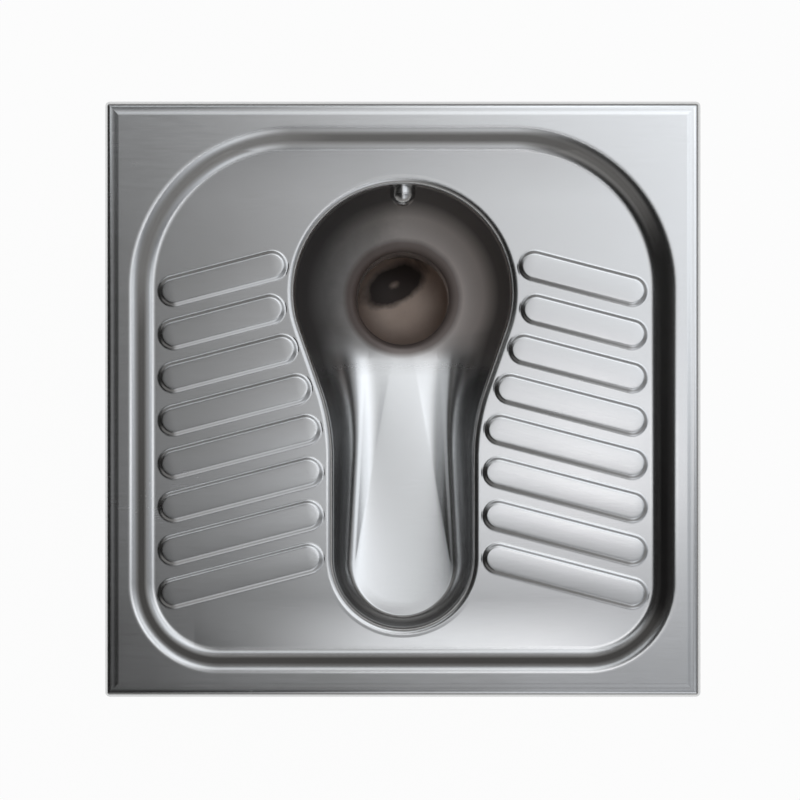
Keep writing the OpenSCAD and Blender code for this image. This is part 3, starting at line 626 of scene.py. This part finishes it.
def lip_ring(a):
    """The lip: a quarter circle from the ring round the drain down into its collar."""
    roll = lip_r - spigot_bore
    a = np.radians(a)
    flat = drain + (lip_r - roll * np.sin(a)) * lip_normal
    return at_height(flat, -drain_depth - roll * (1 - np.cos(a)))


wall_q = np.linspace(0, 1, 28)[1:]
floor_t = np.linspace(0, 1, 22)[1:]
seam_rings = [at_height(half_keyhole + out * half_normal, -step_h)
              for out in (seam_out, rim_out + 1)]
rim_rings = seam_rings + [rim_ring(a) for a in np.linspace(0, 90, 10)]
lip_rings = ([lip_ring(a) for a in np.linspace(0, 90, 9)[1:]]
             + [at_height(drain + spigot_bore * lip_normal, -collar_end)])
rings = rim_rings + [wall_ring(q) for q in wall_q] + [floor_ring(t) for t in floor_t] + lip_rings
bowl = np.array([mirrored(ring)[::-1] for ring in rings])
bowl[:, :, 2] += deck_top
way_down = np.concatenate([
    np.zeros(len(rim_rings)), wall_q, 1 + floor_t, np.full(len(lip_rings), 2)])
flush_r = 13
pipe_hole = round_bar(flush_r, (0, bowl_y + dish_r, flush_z), (0, half_w - 10, flush_z))


def stained_and_shaded_steel(name):
    """The pan's satin steel with painted shade: a dark grey painted on the wall under the rim, in
    place of the dark reflection there. Over the dish lies a matt brown layer of water marks,
    painted darker to the left and lighter to the right as shade, with a dark brown ring round the
    drain's lip. The layer fades out where the trough's floor begins. The mark "down" is 0 on the
    rim, 1 at the wall's foot and 2 at the lip."""
    finish = satin_steel(name)
    spots = finish.noise(55, detail=4, roughness=0.62)
    down = finish.node("ShaderNodeAttribute", {"attribute_name": "down"}, output="Fac")
    x, y, _ = finish.millimetres()
    radius = (x ** 2 + (y - bowl_y) ** 2) ** 0.5
    dish = finish.ramp(y * 0.01 + spots * 0.06,
                       (0.28, 0.0), (0.44, 0.12), (0.62, 0.75), (0.80, 1.0))
    dish = dish * finish.ramp(down, (0.02, 0.0), (0.1, 1.0))
    # painted shade: a dark grey on the wall's upper part under the rim, in place of the dark
    # reflection there
    painted_rim_shade = finish.ramp(down, (0.0, 0.0), (0.05, 1.0), (0.38, 0.9), (0.66, 0.0))
    # a dark brown ring round the drain's lip
    lip = finish.ramp(radius * 0.01 + spots * 0.02, (0.52, 1.0), (0.60, 0.85), (0.66, 0.0))
    # the water marks' colour with painted shade: darker to the left and lighter to the right
    stain_and_side_shade = finish.ramp(x * 0.005 + spots * 0.12 + 0.44,
                       (0.08, (0.12, 0.112, 0.105)), (0.34, (0.34, 0.312, 0.29)),
                       (0.50, (0.70, 0.64, 0.60)), (0.92, (0.80, 0.71, 0.665)))
    # the lip ring's dark brown, and the grey of the painted shade under the rim
    lip_ring_brown, rim_shade_grey = (0.12, 0.08, 0.066), (0.06, 0.055, 0.055)
    ringed = finish.mix(lip * 0.85, finish.mix(dish * 0.9, finish.grey, stain_and_side_shade), lip_ring_brown)
    return finish.shade(Base_Color=finish.mix(painted_rim_shade * 0.92, ringed, rim_shade_grey),
                        Roughness=finish.rough + dish * 0.3, Metallic=1 - dish * 0.85)


bowl_steel = stained_and_shaded_steel("stained_and_shaded_satin_steel")
pan_bowl = make_piece("pan_bowl", *surface(bowl), "pan", bowl_steel, "satin_steel", ["bowl"],
                      sheet_t, pipe_hole, crease=40, down=np.repeat(way_down, bowl.shape[1]))
pan_bowl.data.materials.append(satin_steel("bare_satin_steel").material)
for face in pan_bowl.data.polygons:         # the sheet's underside has no water marks and no painted shade
    outwards = face.normal.dot(face.center - Vector((0, bowl_y * mm, face.center.z))) > 0
    face.material_index = int(face.normal.z < -0.02 or (face.normal.z < 0.02 and outwards))

# --- Drawn tubes ----------------------------------------------------------------------------------
# The spigot, the flush pipe and its nose, the trap's pipes, the cap and the clamps are drawn or
# turned stainless steel. They are brighter than the pan, with marks that run round them.


def dress(finish, *nodes):
    """Gives the nodes of the frame a finish."""
    for name in nodes:
        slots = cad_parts[name].material_slots
        if not slots:
            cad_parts[name].data.materials.append(finish)
        for slot in slots:
            slot.material = finish


def drawn_steel(name, dark, light, roughness):
    """Drawn stainless steel: two greys in soft streaks, with fine scratches in the roughness."""
    finish = Finish(name, Metallic=1.0)
    cloud = finish.noise(18, detail=4)
    scratch = finish.noise(900, (1, 1, 0.05), detail=2)
    finish.grey = finish.mix(cloud * 0.7 + scratch * 0.3, dark, light)
    finish.rough = roughness + cloud * 0.08 + scratch * 0.06
    finish.shade(Base_Color=finish.grey, Roughness=finish.rough,
                 Normal=finish.bump(scratch, 0.015))
    return finish


trap_turn = 140             # the trap's legs stand in this direction from each other
trap_bend_r = 62
trap_bend_z = 138
trap_bore = 54
pipe_greys = (0.50, 0.50, 0.495), (0.66, 0.655, 0.645)
scale_browns = (0.50, 0.40, 0.345), (0.68, 0.575, 0.51)
# the near-black of the painted shade in the trap's throat
throat_shade_black = (0.030, 0.024, 0.024)
throat_shade_x, throat_shade_y = -10, 31      # the painted shade oval's middle from the drain's, and its half width and length
throat_shade_half_x, throat_shade_half_y = 34, 23


def lined_and_shaded_pipe(name):
    """Pipe steel with a brown-grey scale on its inner wall: where the distance from the U-bend's
    centre line is less than the bore. A near-black oval of painted shade marks the way on to the
    far leg, with a paler painted glint in its middle."""
    finish = drawn_steel(name, *pipe_greys, 0.26)
    spots = finish.noise(38, detail=4, roughness=0.6)
    x, y, z = finish.millimetres()
    y = y - bowl_y
    turn = np.radians(trap_turn)
    along = x * np.cos(turn) + y * np.sin(turn)
    beside = y * np.cos(turn) - x * np.sin(turn)
    depth = (z - trap_bend_z).below(0)
    from_bend = ((along - trap_bend_r) ** 2 + depth ** 2) ** 0.5 - trap_bend_r
    distance = (from_bend ** 2 + beside ** 2) ** 0.5
    inside = finish.node("ShaderNodeMath", {"operation": "LESS_THAN"}, {0: distance, 1: trap_bore})
    oval = ((x - throat_shade_x) / throat_shade_half_x) ** 2 + ((y - throat_shade_y - x * 0.3) / throat_shade_half_y) ** 2
    # painted shade: near black over the oval, paler in its middle as a painted glint
    painted_throat_shade = finish.ramp((oval ** 0.5 + spots * 0.5) * 0.5,
                      (0.10, 0.4), (0.22, 0.97), (0.55, 0.97), (0.74, 0.0))
    # the scale, with the throat's painted shade laid over it
    scale = finish.mix(painted_throat_shade, finish.mix(spots, *scale_browns), throat_shade_black)
    return finish.shade(Base_Color=finish.mix(inside, finish.grey, scale),
                        Roughness=finish.rough + inside * 0.3, Metallic=1 - inside * 0.9)


polished_greys = (0.60, 0.605, 0.61), (0.74, 0.74, 0.73)
mill_greys = (0.40, 0.40, 0.395), (0.56, 0.56, 0.55)
polished_steel = drawn_steel("polished_steel", *polished_greys, 0.16).material
pipe_steel = drawn_steel("pipe_steel", *pipe_greys, 0.26).material
mill_steel = drawn_steel("mill_steel", *mill_greys, 0.34).material
dress(polished_steel, "outlet_spigot", "flush_pipe", "flush_spreader", "cuff_clamp", "trap_clamp",
      "cleanout_cap", "elbow_clamp", "earth_stud", "earth_washers")
dress(lined_and_shaded_pipe("lined_pipe_steel_with_painted_shade"), "trap_bend")
dress(pipe_steel, "outlet_elbow")
dress(mill_steel, "flush_pipe_bracket", "left_stiffener", "right_stiffener")

# --- Zinc, rubber and felt ------------------------------------------------------------------------
# Screws, nuts and anchor ties are zinc-plated steel. The seals, the cuff and the soles are moulded
# rubber, and the pads under the treads are bitumen felt.


def zinc_plate():
    """Zinc plating: a bluish grey with faint yellow and violet passivation clouds and a fine
    spangle."""
    finish = Finish("zinc_steel", Metallic=1.0)
    cloud = finish.noise(45, detail=3)
    spangle = finish.noise(420, detail=2)
    tint = finish.ramp(cloud, (0.35, (0.56, 0.59, 0.63)), (0.55, (0.62, 0.62, 0.60)),
                       (0.72, (0.62, 0.59, 0.50)))
    return finish.shade(Base_Color=tint, Roughness=0.27 + spangle * 0.16,
                        Normal=finish.bump(spangle, 0.03))


def moulded_rubber(name, dark, light):
    """Black rubber: matt, with a bloom of dust in soft patches and a fine moulded grain."""
    finish = Finish(name)
    bloom = finish.noise(30, detail=4, roughness=0.6)
    grain = finish.noise(1500, detail=1)
    return finish.shade(Base_Color=finish.mix(bloom ** 2, dark, light),
                        Roughness=0.62 + bloom * 0.2, Normal=finish.bump(grain, 0.06))


zinc = zinc_plate()
rubber = moulded_rubber("black_rubber", (0.018, 0.018, 0.019), (0.075, 0.072, 0.068))
felt = moulded_rubber("bitumen", (0.03, 0.028, 0.026), (0.12, 0.11, 0.10))
dress(zinc, "cuff_clamp_screw", "trap_clamp_bolt", "elbow_clamp_bolt", "anchor_ties", "earth_nuts")
dress(rubber, "trap_seal", "cleanout_gasket", "elbow_seal")
dress(felt, "sound_pads")

# --- Inlet cuff -----------------------------------------------------------------------------------
# A moulded rubber reducer joins the cistern's flush pipe to the pan's. It has a thin neck under the
# clamp, a swept shoulder and a thicker mouth with six ribs.

cuff_start, cuff_mouth, cuff_end = 250, 274, 296
neck_r = 18
cistern_r = 16
cuff_r = cistern_r + 5
rib_start, rib_end, rib_pitch, rib_depth = 277.5, 289.5, 2, 0.9


def turned(profile, count=72):
    """A turned form: each (radius, height) of a profile goes round an upright axis."""
    radius, height = np.array(profile, float).T[:, :, None]
    a = np.radians(np.arange(count) * 360 / count)
    return np.stack([radius * np.cos(a), radius * np.sin(a), height + 0 * a], axis=-1)


def laid_down(points, place):
    """An upright form laid along the pan, so that its height becomes y, and moved to a place."""
    return points @ np.array([(1, 0, 0), (0, 0, -1), (0, 1, 0)]) + place


rib_y = np.linspace(rib_start, rib_end, 25)
rib_wave = (1 - np.cos((rib_y - rib_start) * 2 * np.pi / rib_pitch)) / 2
cuff_neck = [(flush_r, cuff_start), (neck_r - 1, cuff_start), (neck_r, cuff_start + 1),
             (neck_r, 268)]
cuff_shoulder = [(18.3, 270.4), (19.2, 271.6), (20.4, 272.2), (cuff_r, 273.2), (cuff_r, 276)]
cuff_ribs = list(zip(cuff_r - rib_depth * rib_wave, rib_y))
cuff_lip = [(cuff_r, 291), (cuff_r, cuff_end - 1), (20.3, cuff_end), (16.6, cuff_end),
            (cistern_r, cuff_end - 0.6)]
cuff_bore = [(cistern_r, cuff_mouth), (flush_r, cuff_mouth), (flush_r, cuff_start)]
cuff = turned(cuff_neck + cuff_shoulder + cuff_ribs + cuff_lip + cuff_bore)
make_piece("ribbed_cuff", *surface(laid_down(cuff, (0, 0, flush_z))), "pan", rubber, "black_rubber",
           ["inlet_cuff"])

# --- Frame ----------------------------------------------------------------------------------------
# Four square posts carry the pan on a ring of square tubes welded between them. Cold-formed tube
# has rounded corners, a foot plate closes each post, and a threaded boss in it takes the levelling
# stem.

post_x = 270
post_w, post_t, post_r = 30, 2, 4
post_foot, post_top = 72, 383.5
foot_plate_t = 5
rail_w, rail_t, rail_r = 20, 1.5, 3
rail_z = 310
stem_hole_r = 6.08


def square_ring(width, radius, inset, z):
    """A square tube's outline at a height, with rounded corners, moved inwards by inset."""
    return at_height(rounded_square(width / 2, radius, radius, inset, 7), z)


def round_ring(like, radius, z):
    """A circle at a height, with its points in the directions of another ring's."""
    flat = like[:, :2] / np.linalg.norm(like[:, :2], axis=1)[:, None]
    return at_height(radius * flat, z)


wall = square_ring(post_w, post_r, 0, 0)
post = np.array([
    square_ring(post_w, post_r, 1, post_foot),
    square_ring(post_w, post_r, 0.3, post_foot + 0.3),
    square_ring(post_w, post_r, 0, post_foot + 1),
    square_ring(post_w, post_r, 0, post_top),
    square_ring(post_w, post_r, post_t, post_top),
    square_ring(post_w, post_r, post_t, post_foot + foot_plate_t),
    round_ring(wall, stem_hole_r, post_foot + foot_plate_t),
    round_ring(wall, stem_hole_r, post_foot)])
post = np.concatenate([post, post[:1]])

half_rail = post_x - post_w / 2
bead = [(-2, 0), (-1.6, 0.6), (-0.7, 1.5), (0, 2)]  # the weld as (inset, distance from the post)
rail = np.array([square_ring(rail_w, rail_r, inset, z - half_rail) for inset, z in bead]
                + [square_ring(rail_w, rail_r, inset, half_rail - z) for inset, z in bead[::-1]]
                + [square_ring(rail_w, rail_r, rail_t, z) for z in (half_rail, -half_rail)])
rail = laid_down(np.concatenate([rail, rail[:1]]), (post_x, 0, rail_z))


def turned_about_middle(points, turn):
    """The points turned by an angle in degrees about the pan's upright axis."""
    c, s = np.cos(np.radians(turn)), np.sin(np.radians(turn))
    return points @ np.array([(c, s, 0), (-s, c, 0), (0, 0, 1)])


for number, side in enumerate(("right", "rear", "left", "front")):
    make_piece(side + "_tube", *surface(turned_about_middle(rail, 90 * number)), "pan", mill_steel,
               "mill_steel", [side + "_rail"], crease=50)

# --- Levelling feet -------------------------------------------------------------------------------
# Each foot is a turned stainless plate with a boss, a zinc-plated threaded stem with a hexagon that
# a spanner turns, and a ribbed rubber sole. A lock nut holds the stem against the post.

sole_t = 4
plate_r, plate_top = 29, 9
boss_r = 13
bolt_hole_r = 4.5
bolt_hole_x = 21.5
stem_r = 6
stem_foot, stem_top = 17, 135
hexagon_top = 26
nut_foot, nut_top = 62, 72
half_flats = stem_r * 1.75 * np.cos(np.pi / 6)      # half the width across the hexagon's flats
chamfer_r, chamfer_h = 9.6, 0.9
whole_r = 11                # a cone this wide leaves the hexagon's corners whole
thread_pitch = 1.75
thread_depth = 0.85
groove_h = 0.9
round_count = 48
angle = np.arange(round_count) * 2 * np.pi / round_count


def hex_ring(cone_r, z):
    """A hexagon turned down to a cone: the radius is half the width across flats over the cosine of
    the angle from the flat's middle, and at most the cone's."""
    from_flat = (angle + np.pi / 6) % (np.pi / 3) - np.pi / 6
    radius = np.minimum(half_flats / np.cos(from_flat), cone_r)
    flat = np.column_stack([radius * np.cos(angle), radius * np.sin(angle)])
    return at_height(flat, z)


def hex_bar(foot, top):
    """A hexagon bar's rings, with its corners chamfered at both ends."""
    return [hex_ring(chamfer_r, foot), hex_ring(whole_r, foot + chamfer_h),
            hex_ring(whole_r, top - chamfer_h), hex_ring(chamfer_r, top)]


# The thread is a triangle wave of the height less a share of the turn, so it climbs as a helix.
thread_z = np.arange(hexagon_top + 1, stem_top - 1, thread_pitch / 6)[:, None]
wave = np.abs(((thread_z / thread_pitch - angle / (2 * np.pi)) % 1) * 2 - 1)
thread_r = stem_r - thread_depth * wave
thread = np.stack([thread_r * np.cos(angle), thread_r * np.sin(angle), thread_z + 0 * angle],
                  axis=-1)
stem = np.concatenate([
    turned([(0, stem_foot), (8.2, stem_foot)], round_count),
    hex_bar(stem_foot, hexagon_top),
    turned([(5.0, hexagon_top), (5.15, hexagon_top + 0.6)], round_count),
    thread,
    turned([(5.1, stem_top - 0.8), (4.6, stem_top), (0, stem_top)], round_count)])

nut = np.array(hex_bar(nut_foot, nut_top))
nut_bore = turned([(6.9, nut_top), (stem_hole_r, nut_top - 0.8),
                   (stem_hole_r, nut_foot + 0.8), (6.9, nut_foot)], round_count)
nut = np.concatenate([nut, nut_bore, nut[:1]])

foot_plate = turned([
    (0, sole_t), (28.4, sole_t), (plate_r, 4.6), (plate_r, 7.6), (28.2, 8.6), (26.6, plate_top),
    (16.2, plate_top), (14.4, 9.5), (13.3, 10.8), (boss_r, 12.4), (boss_r, 16.2),
    (12.2, stem_foot), (0, stem_foot)])

groove_profile = [(-1.4, 0), (-0.8, groove_h), (0.8, groove_h), (1.4, 0)]
grooves = [(r + out, h) for r in (6.6, 15.4, 24.2) for out, h in groove_profile]
foot_sole = turned([(0, 0)] + grooves + [
    (28.4, 0), (plate_r, 0.6), (plate_r, 3.6), (28.6, sole_t), (0, sole_t)])

nuts = []
for end, y in (("front", -post_x), ("rear", post_x)):
    for side, x in (("left", -post_x), ("right", post_x)):
        corner = end + "_" + side
        foot = corner + "_foot"
        place = (x, y, 0)
        hole_x = x - np.sign(x) * bolt_hole_x
        nuts.append((nut + place, bands(nut)))
        make_piece(corner + "_tube_post", *surface(post + place), "pan", mill_steel, "mill_steel",
                   [corner + "_post"], crease=50)
        make_piece(corner + "_threaded_stem", *surface(stem + place), foot, zinc, "zinc_steel",
                   [corner + "_stem"])
        make_piece(corner + "_turned_plate", *surface(foot_plate + place), foot, polished_steel,
                   "polished_steel", [corner + "_plate"],
                   cutter=round_bar(bolt_hole_r, (hole_x, y, 2), (hole_x, y, 12)))
        make_piece(corner + "_ribbed_sole", *surface(foot_sole + place), foot, rubber,
                   "black_rubber", [corner + "_sole"],
                   cutter=round_bar(bolt_hole_r, (hole_x, y, -2), (hole_x, y, 6)))
make_piece("hexagon_nuts", *joined(nuts), "pan", zinc, "zinc_steel", ["lock_nuts"])

# --- Studio ---------------------------------------------------------------------------------------
# A pale floor that lies as low as the feet reach when they are screwed out, four soft boxes
# overhead, a narrow lamp over the drain, and a world that is bright overhead, dark at the left and
# white at the horizon. All sizes here are metres.

lowest_sole = -0.026
floor_half = 60
floor_corners = [(x * floor_half, y * floor_half, lowest_sole)
                 for x, y in ((-1, -1), (1, -1), (1, 1), (-1, 1))]
floor_mesh = bpy.data.meshes.new("floor")
floor_mesh.from_pydata(floor_corners, [], [(0, 1, 2, 3)])
floor = bpy.data.objects.new("floor", floor_mesh)
bpy.context.scene.collection.objects.link(floor)

pale = Finish("pale_floor", Base_Color=(0.86, 0.86, 0.86, 1), Roughness=0.9)
seen = sum((pale.node("ShaderNodeLightPath", output=ray)
            for ray in ("Is Camera Ray", "Is Glossy Ray", "Is Transmission Ray")), 0)
glow = pale.node("ShaderNodeEmission", {}, {"Color": (1, 1, 1, 1), "Strength": 1.0})
shown = pale.node("ShaderNodeMixShader", {}, {
    0: seen * 0.96, 1: Wire(pale, pale.shader.outputs[0]), 2: glow})
pale.feed(pale.tree.nodes["Material Output"].inputs["Surface"], shown)
floor_mesh.materials.append(pale.material)


def hang(lamp, place, colour, power):
    """Hangs a lamp at a place, facing down, and gives back its object."""
    lamp.color = colour
    lamp.energy = power
    hung = bpy.data.objects.new(lamp.name, lamp)
    hung.location = place
    bpy.context.scene.collection.objects.link(hung)
    return hung


def soft_box(name, place, size, turn, colour, power):
    """A rectangular lamp that faces down, turned about the upright. The picture shows it only as a
    reflection."""
    lamp = bpy.data.lights.new(name, "AREA")
    lamp.shape = "RECTANGLE"
    lamp.size, lamp.size_y = size
    hang(lamp, place, colour, power).rotation_euler.z = np.radians(turn)


cool, warm, plain = (0.93, 0.965, 1.0), (1, 0.97, 0.98), (1, 1, 1)
soft_box("key_light", (1.3, 0.5, 2.7), (0.9, 0.9), 0, cool, 1.5)
soft_box("rear_light", (0, 1.5, 2.7), (3.4, 1.05), 0, cool, 9)
soft_box("window_light", (0.43, -0.13, 2.7), (0.30, 0.13), -14, warm, 0.5)
soft_box("front_light", (0.02, -0.2, 2.7), (0.34, 0.13), 0, cool, 0.4)

beam = bpy.data.lights.new("drain_light", "SPOT")
beam.spot_size = np.radians(2.2)
beam.spot_blend = 0.5
beam.shadow_soft_size = 0.02
hang(beam, (0, bowl_y * mm, 2.4), plain, 60)

# The world overhead is a tent: its brightness along the pan times its colour across it, dimmed at
# the far right. Down to the horizon it fades into a grey ring and a white one, and the ring is
# darkest at the left.
world = bpy.data.worlds.new("world")
bpy.context.scene.world = world
world.use_nodes = True
sky = Graph(world.node_tree)
across, back, up = sky.parts(sky.node("ShaderNodeTexCoord", output="Generated"))
front_and_rear = across.below(0) * (back ** 2).below(0.03) * 36
sideways = sky.ramp(0.53 + across * 2.6 + front_and_rear,
                    (0.0, (0.012, 0.011, 0.010)), (0.2, (0.155, 0.152, 0.148)),
                    (0.5, (0.60, 0.60, 0.605)), (0.78, (0.82, 0.83, 0.85)),
                    (1.0, (1.12, 1.16, 1.22)))
lengthways = sky.ramp(0.45 + back * 0.6,
                      (0.14, 0.8), (0.25, 0.5), (0.33, 0.16), (0.362, 0.24), (0.39, 0.43),
                      (0.42, 0.58), (0.45, 0.77), (0.475, 0.9), (0.54, 0.92), (0.72, 0.95),
                      (0.8, 0.3))
far_right = sky.ramp(across, (0.22, 1.0), (0.36, 0.45))
tent = sky.node("ShaderNodeVectorMath", {"operation": "MULTIPLY"}, {0: sideways, 1: lengthways})
tent = sky.node("ShaderNodeVectorMath", {"operation": "SCALE"}, {0: tent, "Scale": far_right * 1.3})

far_left = sky.ramp(across * 0.5 + 0.5, (0.12, 1.0), (0.3, 0.0))
dark_side = far_left * sky.ramp(back ** 2, (0.06, 1.0), (0.22, 0.0))
left = 1 - dark_side * sky.ramp(up, (0.1, 0.0), (0.15, 0.97))
low = sky.ramp(up, (0.0, 0.96), (0.14, 0.9), (0.2, (0.235, 0.225, 0.215)),
               (0.5, (0.25, 0.245, 0.24)))
low = sky.node("ShaderNodeVectorMath", {"operation": "SCALE"}, {0: low, "Scale": left})
fade = sky.ramp(up + dark_side * 0.13, (0.48, 0.0), (0.74, 1.0))
sky.feed(world.node_tree.nodes["Background"].inputs["Color"], sky.mix(fade, low, tent))

bpy.context.scene.view_settings.view_transform = "Standard"
